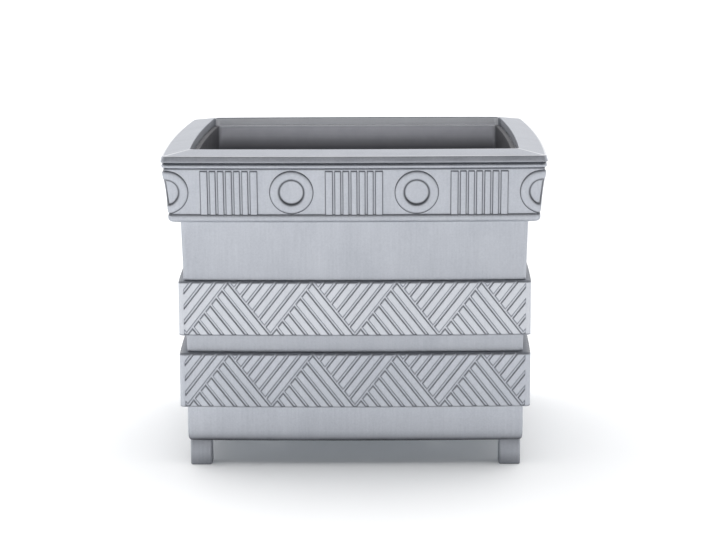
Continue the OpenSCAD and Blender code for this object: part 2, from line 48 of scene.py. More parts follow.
# Plan and levels of the planter in millimetres, with the front side towards -Y. A half is
# from the middle to a face. Each side stops short of its mitre by seam, and rows of its
# section within skin of its face lie on the outside.
planter = dict(
    beadHalf=300.0, bow=8.0, wall=6.0, flange=6.0, footFlange=8.0, flangeHalf=247.8,
    base=42.0, lowBand=97.8, lowJoint=184.8, highBand=213.3, highJoint=300.3,
    lip=395.5, frieze=410.0, neck=478.5, slope=500.5, crest=507.0,
    wallFoot=266.0, wallTop=272.5, bandFace=277.5, baseFace=267.0,
    friezeFoot=287.6, friezeTop=295.8, lipFace=290.2, crestHalf=257.5,
    ledgeLow=487.5, ledgeTop=491.5, ledgeHalf=252.5, lugHalf=243.277, rimLugOut=21.6,
    lugThick=5.0, lugClear=1.0, gapDeep=6.0, seam=0.12, skin=9)
bowAxis = (planter["beadHalf"] ** 2 - planter["bow"] ** 2) / (2 * planter["bow"]) \
    - planter["beadHalf"]


def values(piece, *keys):
    return [piece[key] for key in keys]


def wallHalf(z):
    # The plain wall tapers evenly from its top at the lip to its foot at the low joint
    share = (z - planter["lowJoint"]) / (planter["lip"] - planter["lowJoint"])
    return planter["wallFoot"] + (planter["wallTop"] - planter["wallFoot"]) * share


def onSide(columns, half, rounding, columnEnd, shiftFrom):
    # A point of the front side in plan. The face is an arc about an axis far behind it,
    # y = axis - sqrt(R^2 - x^2), and near the corner a circle that touches the face and is
    # square to the mitre. Columns past shiftFrom move so that the last one meets the mitre.
    radius = np.hypot(half, half + bowAxis)
    lean = np.arcsin(half / radius)
    opening = math.pi / 4 + lean
    centre = half - rounding / np.sin(opening) / root2
    mitre = centre + rounding / root2
    share = np.clip((np.abs(columns) - shiftFrom) / (columnEnd - shiftFrom), 0, 1)
    x = np.abs(columns) + (mitre - columnEnd) * share
    face = bowAxis - np.sqrt(radius ** 2 - x ** 2)
    curve = -centre - np.sqrt(np.maximum(rounding ** 2 - (x - centre) ** 2, 0))
    touch = half - rounding / np.tan(opening) * np.cos(lean)
    y = np.where(x > touch, curve, face)
    return np.sign(columns) * x, y


def softened(points, steps=4, longest=0.45):
    # A run of (half, level, softness, rounding) points. A corner with a softness becomes the
    # quadratic arc (1-t)^2 a + 2t(1-t) corner + t^2 b between points that far from it, or the
    # longest share of the way to the next corner.
    points = [np.array(p, float) for p in points]
    run = []
    for i, corner in enumerate(points):
        if corner[2] == 0 or i in (0, len(points) - 1):
            run.append(corner[[0, 1, 3]])
            continue
        before, after = points[i - 1][:2] - corner[:2], points[i + 1][:2] - corner[:2]
        a = corner[:2] + before * min(longest, corner[2] / np.hypot(*before))
        b = corner[:2] + after * min(longest, corner[2] / np.hypot(*after))
        t = np.linspace(0, 1, steps + 1)[:, None]
        arc = (1 - t) ** 2 * a + 2 * t * (1 - t) * corner[:2] + t ** 2 * b
        run.extend(np.column_stack([arc, np.full(steps + 1, corner[3])]))
    return np.array(run)


def turned(points, quarter):
    # Points turned by quarters about the planter's middle; their heights stay as they are
    c, s = quarterTurns[quarter]
    return np.column_stack([points[:, 0] * c - points[:, 1] * s,
                            points[:, 0] * s + points[:, 1] * c, points[:, 2:]])


def gridTriangles(rows, columns, slash=None):
    # Two triangles for each cell of a grid numbered row by row, whose last row meets the
    # first. slash says for a cell whether it is split from its lower left or lower right.
    r = np.arange(rows)[:, None]
    c = np.arange(columns - 1)[None, :]
    here, up = r * columns + c, (r + 1) % rows * columns + c
    pick = (np.zeros(here.shape, bool) if slash is None else slash)[..., None, None]
    forward = np.stack([np.stack([here, here + 1, up + 1], -1),
                        np.stack([here, up + 1, up], -1)], -2)
    backward = np.stack([np.stack([here, here + 1, up], -1),
                         np.stack([here + 1, up + 1, up], -1)], -2)
    return np.where(pick, forward, backward).reshape(-1, 3)


def endCaps(points, rows, columns):
    # The two flat ends of a side, where it meets its neighbours on the mitre
    caps = []
    for column, order in ((0, 1), (columns - 1, -1)):
        loop = np.arange(rows) * columns + column
        flat = np.column_stack([np.abs(points[loop, 0]), points[loop, 2], np.zeros(rows)])
        found = np.array(tessellate_polygon([[tuple(p) for p in flat]]))
        caps.append(loop[found][:, ::order])
    return caps


def outward(points, triangles):
    # Turns a closed shell so that its faces point out of it
    a, b, c = (points[triangles[:, i]] for i in range(3))
    volume = np.einsum("ij,ij->i", a, np.cross(b, c)).sum()
    return triangles if volume > 0 else triangles[:, ::-1]


def edgesOf(triangles):
    return np.vstack([triangles[:, [0, 1]], triangles[:, [1, 2]], triangles[:, [2, 0]]]).tolist()


def capsOutward(points, triangles, caps):
    # An end cap is turned so that each of its outer edges runs against the grid's
    edges = set(map(tuple, edgesOf(triangles)))
    facing = []
    for cap in caps:
        same = sum(tuple(pair) in edges for pair in edgesOf(cap))
        facing.append(cap[:, ::-1] if same > len(cap) / 4 else cap)
    return outward(points, np.vstack([triangles] + facing))


def prism(plan, zLow, zHigh):
    # An upright prism over a convex outline, closed by fans from its first point
    count = len(plan)
    k, fan = np.arange(count), np.arange(1, count - 1)
    n, first = (k + 1) % count, np.zeros(count - 2, int)
    points = np.vstack([np.column_stack([plan, np.full(count, z)]) for z in (zLow, zHigh)])
    triangles = np.vstack([
        np.column_stack([k, n, n + count]), np.column_stack([k, n + count, k + count]),
        np.column_stack([first, fan + 1, fan]),
        np.column_stack([first + count, fan + count, fan + count + 1])])
    return points, outward(points, triangles)


def lug(zLow, zHigh, outHalf, lugHalf=planter["lugHalf"]):
    # The upright lugs along the mitre at both ends, each a prism on four corners
    step = planter["lugThick"] / root2
    inset = planter["seam"] / root2
    plan = np.array([[lugHalf, -lugHalf], [outHalf, -outHalf], [outHalf - 2 * step, -outHalf],
                     [lugHalf - step, -lugHalf - step]]) - inset
    return [prism(plan * [side, 1], zLow, zHigh) for side in (1, -1)]


def tubeTriangles(count, width):
    # Rings one over the other, closed at both ends by fans to the two points after the last
    r, c = np.arange(count - 1)[:, None], np.arange(width)[None, :]
    here, nextOne = r * width + c, r * width + (c + 1) % width
    ring = np.arange(width)
    last, pole = (count - 1) * width, count * width
    return np.vstack([
        np.stack([here, nextOne, nextOne + width], -1).reshape(-1, 3),
        np.stack([here, nextOne + width, here + width], -1).reshape(-1, 3),
        np.column_stack([np.full(width, pole), (ring + 1) % width, ring]),
        np.column_stack([np.full(width, pole + 1), last + ring, last + (ring + 1) % width])])


def joined(shells):
    start, points, triangles = 0, [], []
    for shellPoints, shellTriangles in shells:
        points.append(shellPoints)
        triangles.append(shellTriangles + start)
        start += len(shellPoints)
    return np.vstack(points), np.vstack(triangles)


def newObject(name, data):
    made = bpy.data.objects.new(name, data)
    bpy.context.scene.collection.objects.link(made)
    return made


def meshPiece(name, points, triangles, body, replaced, toneAndPaintedLight):
    # Millimetres in, metres in the mesh. Each point carries a value that the colour follows:
    # above 0 how much darker it is painted, mostly painted shade in corners, grooves and depths
    # and partly an even darker tone, below 0 how bright a painted highlight is there.
    mesh = bpy.data.meshes.new(name)
    mesh.vertices.add(len(points))
    mesh.vertices.foreach_set("co", (points * toMetres).astype(np.float32).ravel())
    mesh.loops.add(triangles.size)
    mesh.loops.foreach_set("vertex_index", triangles.astype(np.int32).ravel())
    mesh.polygons.add(len(triangles))
    mesh.polygons.foreach_set("loop_start", np.arange(len(triangles), dtype=np.int32) * 3)
    mesh.polygons.foreach_set("use_smooth", np.ones(len(triangles), bool))
    mesh.update(calc_edges=True)
    mesh.set_sharp_from_angle(angle=crease)
    kept = mesh.attributes.new("toneAndPaintedLight", "FLOAT", "POINT")
    kept.data.foreach_set("value", toneAndPaintedLight.astype(np.float32).ravel())
    piece = newObject(name, mesh)
    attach(piece, body)
    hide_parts(*replaced)
    return piece


def fourSides(stem, shells, toneAndPaintedLight, asideToneAndLight=None):
    # The same casting on each side, turned a quarter about the planter's middle. The left and
    # right ones can have their own painted shade and highlights.
    points, triangles = joined(shells)
    toneAndLightBySide = [np.concatenate([grid.ravel(), np.zeros(len(points) - grid.size)])
             for grid in (toneAndPaintedLight, toneAndPaintedLight if asideToneAndLight is None else asideToneAndLight)]
    pieces = [meshPiece(f"{stem}_{side}_casting", turned(points, turn), triangles, "planter",
                        [f"{stem}_{side}"], toneAndLightBySide[turn % 2])
              for turn, side in enumerate(("front", "right", "back", "left"))]
    print(stem, len(points), "points", len(triangles), "triangles a side")
    return pieces


def casting(rows, columns, columnEnd, shiftFrom, slash=None):
    # Rows are (half, level, rounding) round the closed section, columns run along the side.
    # half and columns may differ from cell to cell where there is relief.
    half, level, rounding = rows
    x, y = onSide(columns, half, rounding, columnEnd, shiftFrom)
    inset = planter["seam"] / root2
    x[:, 0] += inset
    x[:, -1] -= inset
    y[:, [0, -1]] -= inset
    points = np.column_stack([x.ravel(), y.ravel(), np.broadcast_to(level, x.shape).ravel()])
    triangles = gridTriangles(*x.shape, slash)
    return points, capsOutward(points, triangles, endCaps(points, *x.shape))


# Plain wall over the upper band. Its columns are even over the flat of a side and narrow
# round its corner. Those past shiftLast from the end follow the mitre on the outside, and
# inside the casting all those past the share shiftInside of the side do.
collar = dict(
    columnStep=16, rounding=7.0, footSoft=0.9, strip=4, shiftLast=12, lugFrom=5,
    corner=[10, 8.6, 7.2, 6, 5, 4, 3, 2.1, 1.3, 0.6, 0.15, 0])
wallShadeValues = dict(even=0.05, foot=0.16, fade=9)
shiftInside = 0.7


def wallToneAndShade(level, columns, low, high):
    # A plain wall is evenly a little darker, with painted shade towards its foot, where it stands
    # on a band
    up = level - low
    bottomShade = np.where((up >= 0) & (level < high),
                    wallShadeValues["foot"] * np.exp(-np.maximum(up, 0) / wallShadeValues["fade"]), 0)
    return np.broadcast_to(np.maximum(wallShadeValues["even"], bottomShade), columns.shape)


def wallFootRows(low):
    # The foot of a wall: down its face, in under the joint's groove, and up over its flange
    t, flangeHalf = values(planter, "wall", "flangeHalf")
    r, strip = values(collar, "rounding", "strip")
    foot, sill = low + band["joint"], low + planter["footFlange"]
    back = wallHalf(low) - planter["gapDeep"]
    return [(wallHalf(foot + strip), foot + strip, 0, r),
            (wallHalf(foot), foot, collar["footSoft"], r), (back, foot, 0.5, r),
            (back, low, 0, r), (flangeHalf, low, 0.5, 0), (flangeHalf, sill, 0.5, 0),
            (wallHalf(sill) - t, sill, 1.5, 0)]


def buildCollar():
    low, high, t, end = values(planter, "highJoint", "lip", "wall", "wallTop")
    strip, r, step = values(collar, "strip", "rounding", "columnStep")
    top, flangeHalf = high - planter["flange"], planter["flangeHalf"]
    rows = softened([(wallHalf(high), high, 0, r), (wallHalf(high - strip), high - strip, 0, r)]
                    + wallFootRows(low) + [(wallHalf(top) - t, top, 1.5, 0),
                                           (flangeHalf, top, 0.5, 0), (flangeHalf, high, 0, 0)])
    half, level, rounding = (rows[:, [i]] for i in range(3))
    corner = np.array(collar["corner"])
    right = np.concatenate([np.arange(0, end - corner[0] - step / 2, step), end - corner])
    columns = np.repeat(np.concatenate([-right[:0:-1], right])[None, :], len(rows), 0)
    shiftFrom = np.where(half > end - planter["skin"], end - collar["shiftLast"],
                         shiftInside * end)
    shell = casting((half, level, rounding), columns, end, shiftFrom)
    quarterUp = (low + (low + high) / 2) / 2
    lugs = lug(low + collar["lugFrom"], high - planter["lugClear"], wallHalf(quarterUp) - t / 2)
    return fourSides("collar_wall", [shell] + lugs, wallToneAndShade(level, columns, low, high))


# Bands of slanting bars: a grid whose diagonals are the grooves. profile is a groove's depth,
# and the list after it the painted shade in the groove, by grid steps from its middle. The
# painted shade along the band's two edges goes by millimetres over its foot and under its top.
band = dict(
    bars=7, barSteps=9, waves=4, reach=255, plainEnd=12.0, foot=2.0, high=87.0, deep=1.9,
    topSoft=3.0, topIn=9, bottomSoft=1.6, footStrip=0.45, rounding=7.0, joint=0.5,
    faceDeep=2.5, under=4, corner=[8, 6.8, 5.6, 4.4, 3.3, 2.2, 1.2, 0.5, 0.12, 0],
    profile=[1, 1, 0.72, 0.15, 0], shadeAndDarkening=[0, 0.02, 0.36, 0.46, 0.02, 0],
    overFoot=[-0.5, 0, 0.8, 2.4, 3.4], underTop=[3.8, 2.6, 0.8, 0],
    edgeShade=[0, 0.4, 0.4, 0.2, 0, 0, 0.45, 0.6, 0.35],
    # The level under which a bar gets its painted highlight, that highlight, and the painted
    # shade under the band
    unshadedBelow=0.06, barHighlight=-0.24, waistShade=0.13)
bandBack = planter["bandFace"] - band["deep"] - planter["wall"]


def bandPattern():
    # With u the column and j the row, a wave's low point is at p = 0 and its arms are
    # |p| = j. Over the arms the bars follow u - j, under them u + j, and every eighteenth
    # of these is a groove; its depth falls off with the distance d to the nearest one.
    steps = band["bars"] * band["barSteps"]
    stepX = (planter["bandFace"] - band["plainEnd"]) / band["waves"] / steps
    u = np.arange(-band["reach"], band["reach"] + 1)[None, :]
    j = np.arange(steps, -1, -1)[:, None]
    p = (u + steps) % (2 * steps) - steps
    spacing = 2 * band["barSteps"]

    def toNearest(v):
        return np.abs((v + spacing / 2) % spacing - spacing / 2)

    hanging = np.abs(p) <= j
    over = np.minimum(toNearest(u - j), np.abs(p + j))
    under = np.minimum(toNearest(u + j), np.where(p > 0, np.abs(p - j), spacing))
    d = np.where(hanging, over, under)
    profile, shadeAndDarkening = (np.interp(d, np.arange(len(band[key])), band[key])
                     for key in ("profile", "shadeAndDarkening"))
    level = band["foot"] + j * (band["high"] - band["foot"]) / steps
    return u[0] * stepX, level[:, 0], band["deep"] * profile, shadeAndDarkening, hanging


def bandUnder(z, face, foot):
    # The section under a band: in to the wall's face, its foot, and up inside to the flange
    t, r = planter["wall"], band["rounding"]
    top = z + band["high"] - planter["flange"]
    return softened([(face + band["under"], z, 0, r), (face, z, 0.6, r)] + foot + [
        (face - t, z - 2, 2, 0), (bandBack, z + t, 2, 0), (bandBack, top, 1.5, 0),
        (planter["flangeHalf"], top, 0, 0)])


def bandLugs(z, low, wallMiddle):
    # Lugs behind the wall under a band, and behind the band itself
    clear = planter["lugClear"]
    return lug(low + clear, z + 2 * clear, wallMiddle) \
        + lug(z + clear, z + band["high"] - clear, bandBack + planter["wall"] / 2)


def bandRows(zLow, under):
    # The section of a casting with a band: its patterned face from the top edge down, then
    # the rows under it and back up inside to the top flange
    x, level, depth, shadeAndDarkening, hanging = bandPattern()
    soft, r, high, e = values(band, "topSoft", "rounding", "high", "bottomSoft")
    face = planter["bandFace"]
    end = face - np.array(band["corner"])
    columns = np.concatenate([-end[::-1], x, end])
    side, wide, count = len(end), len(columns), len(level)
    aside = ((0, 0), (side, side))
    above = np.clip(level - (high - soft), 0, soft)
    rowHalf = face - soft + np.sqrt(soft ** 2 - above ** 2)
    half = np.minimum(rowHalf[:, None], face - np.pad(depth, aside))
    t = np.radians([0, 30, 60, 90])
    foot = np.column_stack([face - e + e * np.cos(t), e - e * np.sin(t), np.full(len(t), r)])
    below = np.vstack([[face, band["foot"] - band["footStrip"], r], foot, under - [0, zLow, 0]])
    top = np.array([[planter["flangeHalf"], high, 0], [face - band["topIn"], high, r]])
    half = np.vstack([np.repeat(top[:, [0]], wide, 1), half, np.repeat(below[:, [0]], wide, 1)])
    z = np.concatenate([top[:, 1], level, below[:, 1]])[:, None] + zLow
    rounding = np.concatenate([top[:, 2], np.full(count, r), below[:, 2]])[:, None]
    first = len(top)
    slash = np.zeros((len(z), wide - 1), bool)
    slash[first:first + count - 1, side:side + len(x) - 1] = ~(
        hanging[1:, :-1] & hanging[:-1, 1:])
    toneAndPaintedLight = np.zeros(half.shape)
    toneAndPaintedLight[first:first + count] = np.pad(shadeAndDarkening, aside)
    edgeAt = band["overFoot"] + [high - down for down in band["underTop"]]
    edge = np.interp(z - zLow, edgeAt, band["edgeShade"])
    toneAndPaintedLight = np.maximum(toneAndPaintedLight, np.where(half > face - band["topIn"] - 1, edge, 0))
    return (half, z, rounding), np.repeat(columns[None, :], len(z), 0), slash, toneAndPaintedLight


def bandSides(stem, rows, columns, slash, toneAndPaintedLight, lugs):
    end = planter["bandFace"]
    shiftFrom = np.where(rows[0].max(1, keepdims=True) > end - band["faceDeep"],
                         end - band["corner"][0], shiftInside * end)
    shell = casting(rows, columns, end, shiftFrom, slash)
    return fourSides(stem, [shell] + lugs, toneAndPaintedLight)


def buildUpperBand():
    z, low = planter["highBand"], planter["lowJoint"]
    rows, columns, slash, toneAndPaintedLight = bandRows(z, bandUnder(z, wallHalf(z), wallFootRows(low)))
    level = rows[1]
    # Painted shade on the wall under the bars and along the band's underside, and a painted
    # highlight on the bars
    toneAndPaintedLight = np.maximum(toneAndPaintedLight, wallToneAndShade(level, columns, low, z - 1))
    toneAndPaintedLight = np.maximum(toneAndPaintedLight, np.where(level < z + 0.3, band["waistShade"], 0))
    toneAndPaintedLight = np.where((toneAndPaintedLight < band["unshadedBelow"]) & (level > z + 1), band["barHighlight"], toneAndPaintedLight)
    lugs = bandLugs(z, low + band["joint"], wallHalf((low + z) / 2) - planter["wall"] / 2)
    return bandSides("upper_band", rows, columns, slash, toneAndPaintedLight, lugs)


# Foot of the base: a soft edge that turns in under it to a sill for the feet
baseFoot = dict(
    sillHalf=231.4, down=1.4, soft=3.2, inside=2.4, rowsUp=(24, 16, 10),
    # Painted shade towards the base's bottom edge, by millimetres over it
    bottomShadeAt=[0, 2.5, 6, 10, 18, 50], bottomShade=[1, 0.85, 0.45, 0.25, 0.1, 0])


def buildBaseBand():
    z, t, r = planter["lowBand"], planter["wall"], band["rounding"]
    low, face = values(planter, "base", "baseFace")
    sillHalf, down, inside, soft = values(baseFoot, "sillHalf", "down", "inside", "soft")
    edge, sill = low - down, low + planter["flange"]
    foot = [(face, low + up, 0, r) for up in baseFoot["rowsUp"]] + [
        (face - 0.4, low + 4, 2, r), (face - inside, edge, soft, r),
        (face - t, edge, 0.8, r), (face - t, low, 0.4, r), (sillHalf, low, 0.5, 0),
        (sillHalf, sill, 0.5, 0), (face - t, sill, 1.5, 0)]
    rows, columns, slash, toneAndPaintedLight = bandRows(z, bandUnder(z, face, foot))
    # Painted shade darkens the base's face towards its bottom edge
    bottomShade = np.interp(rows[1], edge + np.array(baseFoot["bottomShadeAt"]), baseFoot["bottomShade"])
    toneAndPaintedLight = np.maximum(toneAndPaintedLight, np.where(rows[0] > face - planter["skin"], bottomShade, 0))
    lugs = bandLugs(z, low, face - t / 2)
    return bandSides("base_band", rows, columns, slash, toneAndPaintedLight, lugs)


# Rim: sloping top, two beads, the frieze with its flutes and roundels, and the lip
rim = dict(
    steps=24, ringPitch=194.467, high=2.2, fluteWide=9.0, fluteEnd=2.0, flutePitch=12.6,
    flutes=7, drop=2.5, ringFoot=408.45, cornerRing=[-0.6, -0.25, -0.08, 0],
    lipRound=7.25, lipAbove=(403.6, 404.6), lipRounding=8.0, beadRounding=10.0,
    friezeRounding=4.5, crestRounding=12.0, insideRounding=3, beadUp=2.4, beadIn=1.4,
    beadGap=1.6, fascia=0.53, shiftLast=14, lugSplit=443.25, lugIn=2.5, lugOut=1.4,
    flangeUp=8)
rimEnd = 1.5 * rim["ringPitch"]
# Its even darker tone and painted shade, and below 0 its painted highlights. The shade in the
# grooves goes by level, and the highlight on the mitres by the way to the corner.
rimToneAndLight = dict(
    frieze=0.09, lip=0.11, fluteEnd=0.7, ledge=0.8, drop=-0.7, asideDropShade=0.3,
    paintedHighlight=-0.8, edgeWide=5, faceDeep=1.5, slopeDeep=0.6, dropDeep=0.7, crestDeep=2,
    ledgeDeep=0.3, mitreAt=[0, 1.2, 2.4], mitre=[1, 0.8, 0],
    level=[478.6, 478.8, 480.2, 481.4, 487.2, 488.2, 489.8, 491.0, 493.5],
    shadeAndDarkening=[0, 0.4, 0.45, 0.1, 0.1, 0.68, 0.68, 0.4, 0])
# Roundels by grid layer: radius, height, and painted shade in the crevices round the eye and at
# the ring's outer edge
ringLayers = dict(
    step=[0, 12, 13, 14, 15, 16, 17, 18, 19, 20, 21, 22, 23],
    radius=[0, 16.6, 17.8, 18.9, 20.0, 21.1, 22.6, 27.5, 31.6, 32.8, 33.6, 34.2, 34.8],
    height=[-1.6, -1.6, -1.45, -0.6, 0.9, 1.85, 2.25, 2.35, 2.2, 1.6, 0.6, 0, 0],
    toneAndPaintedLight=[0, 0, 0.45, 0.8, 0.65, 0.25, 0, 0, 0, 0.2, 0.7, 0.8, 0.05])
# A flute's edge from outside in: inset, height, and painted shade at its foot
fluteShape = dict(
    inset=[-1.7, -0.7, -0.15, 0.5, 1.2], height=[0, 0, 0.1, 0.88, 1],
    toneAndPaintedLight=[0.05, 0.4, 0.75, 0.4, 0])
# Rows where the flutes run out on the lip, how far they still stand there, and the painted shade
# between and on them
fluteFoot = dict(
    level=[408.2, 407.4, 406.5, 405.6], stands=[0.7, 0.3, 0, 0],
    shadeAndDarkening=[0.8, 0.4, 0.05, 0], barShade=[0.6, 0.6, 0.15, 0])


def lipFace(z):
    # The lip's upper half is a little squarer than a quarter circle: with t the share of its
    # height, it stands in by R (1 - (1 - t^3)^(1/3))
    t = np.clip((z - planter["lip"] - rim["lipRound"]) / rim["lipRound"], 0, 1)
    return planter["lipFace"] - rim["lipRound"] * (1 - np.cbrt(1 - t ** 3))


def friezeFace(z):
    # The frieze leans out evenly from its foot to its top
    share = (z - planter["frieze"]) / (planter["neck"] - planter["frieze"])
    return planter["friezeFoot"] + (planter["friezeTop"] - planter["friezeFoot"]) * share


def ringPatch(a, b, reach):
    # Squares of the grid become circles: the point (a, b) is on the layer k = max(|a|, |b|),
    # its angle grows evenly along the square's side, and its radius follows the layer.
    # The outermost layers pass back from the circle to the square.
    k = np.maximum(np.maximum(np.abs(a), np.abs(b)), 1e-9)
    upright = np.abs(b) >= np.abs(a)
    angle = np.where(upright, a / k, b / k) * math.pi / 4
    radius = np.interp(k, ringLayers["step"], ringLayers["radius"])
    along, across = radius * np.cos(angle), radius * np.sin(angle)
    x = np.where(upright, across, np.sign(a) * along)
    z = np.where(upright, np.sign(b) * along, across)
    out = np.clip(k - ringLayers["step"][-1], 0, 1)
    x = x + (a / k * reach - x) * out
    z = z + (b / k * reach - z) * out
    height, toneAndPaintedLight = (np.interp(k, ringLayers["step"], ringLayers[key])
                    for key in ("height", "toneAndPaintedLight"))
    return x, z, height, toneAndPaintedLight * (1 - out)


def friezeGrid():
    # Columns from the middle of the side to its right corner, mirrored for the left
    n, pitch = rim["steps"], rim["ringPitch"]
    reach = (planter["neck"] - rim["ringFoot"]) / 2
    b = np.arange(n, -n - 1, -1.0)[:, None]
    plainZ = reach * b / n
    inBar = (plainZ <= reach - rim["drop"]).astype(float)
    shape = np.column_stack(values(fluteShape, "inset", "height", "toneAndPaintedLight"))
    count, spacing, wide, more = values(rim, "flutes", "flutePitch", "fluteWide", "fluteEnd")
    blocks = []

    def flutes(middle, onlyRight=False):
        bars = []
        for i in range(count):
            place = (i - (count - 1) / 2) * spacing
            left = place - wide / 2 - more * (i == 0)
            right = place + wide / 2 + more * (i == count - 1)
            bars += [(left + s, h, d) for s, h, d in shape]
            bars += [(right - s, h, d) for s, h, d in shape[::-1]]
        bars = np.array(bars)
        if onlyRight:
            bars = np.vstack([[0, 1, 0], bars[bars[:, 0] > 0]])
        x = np.repeat(middle + bars[:, 0][None, :], len(b), 0)
        toneAndPaintedLight = inBar * bars[:, 2]
        # Painted shade just above the upper ends of the flutes
        toneAndPaintedLight[:-1] = np.maximum(toneAndPaintedLight[:-1], rimToneAndLight["fluteEnd"] * (inBar[1:] - inBar[:-1])
                               * (bars[:, 1] > 0))
        height = inBar * bars[:, 1] * rim["high"]
        blocks.append((x, np.repeat(plainZ, x.shape[1], 1), height, toneAndPaintedLight))

    def ring(middle, a):
        x, z, height, toneAndPaintedLight = ringPatch(a[None, :], b, reach)
        blocks.append((middle + x, z, height, toneAndPaintedLight))

    flutes(0, onlyRight=True)
    ring(pitch / 2, np.arange(-n, n + 1.0))
    flutes(pitch)
    ring(rimEnd, np.concatenate([np.arange(-n, 0.0), rim["cornerRing"]]))
    x, z, height, toneAndPaintedLight = (np.hstack([block[i] for block in blocks]) for i in range(4))
    x = np.hstack([-x[:, :0:-1], x])
    z, height, toneAndPaintedLight = (np.hstack([v[:, :0:-1], v]) for v in (z, height, toneAndPaintedLight))
    z = z + (rim["ringFoot"] + planter["neck"]) / 2
    bar, shadeValues = height[-1:] / rim["high"], toneAndPaintedLight[-1:]
    for level, stands, shadeAndDarkening, barShade in zip(*values(fluteFoot, "level", "stands", "shadeAndDarkening",
                                                    "barShade")):
        x = np.vstack([x, x[-1:]])
        height = np.vstack([height, rim["high"] * bar * stands])
        z = np.vstack([z, np.full_like(bar, level)])
        toneAndPaintedLight = np.vstack([toneAndPaintedLight, np.maximum(shadeAndDarkening * (1 - bar), np.maximum(shadeValues, barShade) * bar)])
    return x, z, height, toneAndPaintedLight


def rimRows():
    # Everything round the section but the frieze: from its top edge up over the beads and the
    # sloping top, and from its foot round the lip; the inside closes the loop
    bead, top, foot, lip, slope, crest, neck, t = values(
        planter, "beadHalf", "friezeTop", "friezeFoot", "lip", "slope", "crest", "neck", "wall")
    ledgeLow, ledgeTop, ledgeHalf, crestHalf, flangeHalf = values(
        planter, "ledgeLow", "ledgeTop", "ledgeHalf", "crestHalf", "flangeHalf")
    r, c, lipR, inR = values(rim, "beadRounding", "crestRounding", "lipRounding",
                             "insideRounding")
    lipTop = lip + rim["flangeUp"]
    fascia = (slope - neck - rim["beadUp"]) * rim["fascia"]
    beadLow, beadHigh = neck + rim["beadUp"], slope - fascia - rim["beadGap"]
    beadR = (beadHigh - beadLow) / 2
    a = np.radians(np.arange(-90, 91, 15))
    lowBead = np.column_stack([bead - rim["beadIn"] - beadR + beadR * np.cos(a),
                               (beadHigh + beadLow) / 2 + beadR * np.sin(a),
                               np.zeros(len(a)), np.full(len(a), r)])
    up = softened(
        [(top, neck + 0.3, 0, r), (top, beadLow - 0.8, 0.4, r)] + lowBead.tolist()
        + [(top, slope - fascia - 0.8, 0.3, r), (bead - 0.8, slope - fascia, 0.8, r),
           (bead, slope - fascia + 1.4, 1.6, r), (bead - 2.0, slope - 0.9, 1.4, r),
           (bead - 3.8, slope, 1.4, r), (crestHalf + 1.2, crest, 1.0, c),
           (crestHalf, crest - 1.2, 1.0, c), (crestHalf, ledgeTop, 0.4, c)])
    inner = softened([
        (crestHalf, ledgeTop, 0, c), (ledgeHalf, ledgeTop, 0.4, c),
        (ledgeHalf, ledgeLow, 0.4, c), (crestHalf + t, ledgeLow, 1.2, c),
        (crestHalf + t, crest - t - 1, 1.5, c), (top - t, slope - t, 2, inR),
        (top - t, neck, 0, inR), (foot - t, planter["frieze"], 0, inR),
        (foot - t, lipTop, 1.5, inR), (flangeHalf, lipTop, 0.4, 0), (flangeHalf, lip, 0, 0)])
    high, a = rim["lipRound"], np.radians(np.arange(-90, 10, 10))
    under = np.column_stack([planter["lipFace"] - high + high * np.cos(a),
                             lip + high + high * np.sin(a), np.full(len(a), lipR)])
    over = [(lipFace(z), z, lipR) for z in rim["lipAbove"]]
    return up, inner[1:], np.vstack([under, over])


def rimPaintedLight(half, level, toMitre, toneAndPaintedLight):
    # Painted shade in the grooves of the outside, and painted highlights on the slope's outer
    # edge and the mitres on it
    crest, crestHalf, ledgeTop = values(planter, "crest", "crestHalf", "ledgeTop")
    shadeValues = np.interp(level, rimToneAndLight["level"], rimToneAndLight["shadeAndDarkening"])
    onFace = half > friezeFace(level) - rimToneAndLight["faceDeep"]
    toneAndPaintedLight = np.where(onFace, np.maximum(toneAndPaintedLight, shadeValues), toneAndPaintedLight)
    slope = (level > planter["slope"] - rimToneAndLight["slopeDeep"]) & (half > crestHalf - near)
    mitre = np.interp(toMitre, rimToneAndLight["mitreAt"], rimToneAndLight["mitre"])
    toneAndPaintedLight = np.where(slope, rimToneAndLight["paintedHighlight"] * mitre, toneAndPaintedLight)
    edge = slope & (half > planter["beadHalf"] - rimToneAndLight["edgeWide"])
    toneAndPaintedLight = np.where(edge, np.minimum(toneAndPaintedLight, rimToneAndLight["paintedHighlight"]), toneAndPaintedLight)
    # Inside the opening the drop gets a painted highlight in front and behind and painted shade
    # at the left and right, and the ledge gets painted shade
    inside = (np.abs(half - crestHalf) < rimToneAndLight["dropDeep"]) \
        & (level < crest - rimToneAndLight["crestDeep"])
    onLedge = (np.abs(level - ledgeTop) < rimToneAndLight["ledgeDeep"]) & (half < crestHalf - 2 * near)
    toneAndPaintedLight = np.where(onLedge, rimToneAndLight["ledge"], np.where(inside, rimToneAndLight["drop"], toneAndPaintedLight))
    return toneAndPaintedLight, np.where(inside, rimToneAndLight["asideDropShade"], toneAndPaintedLight)


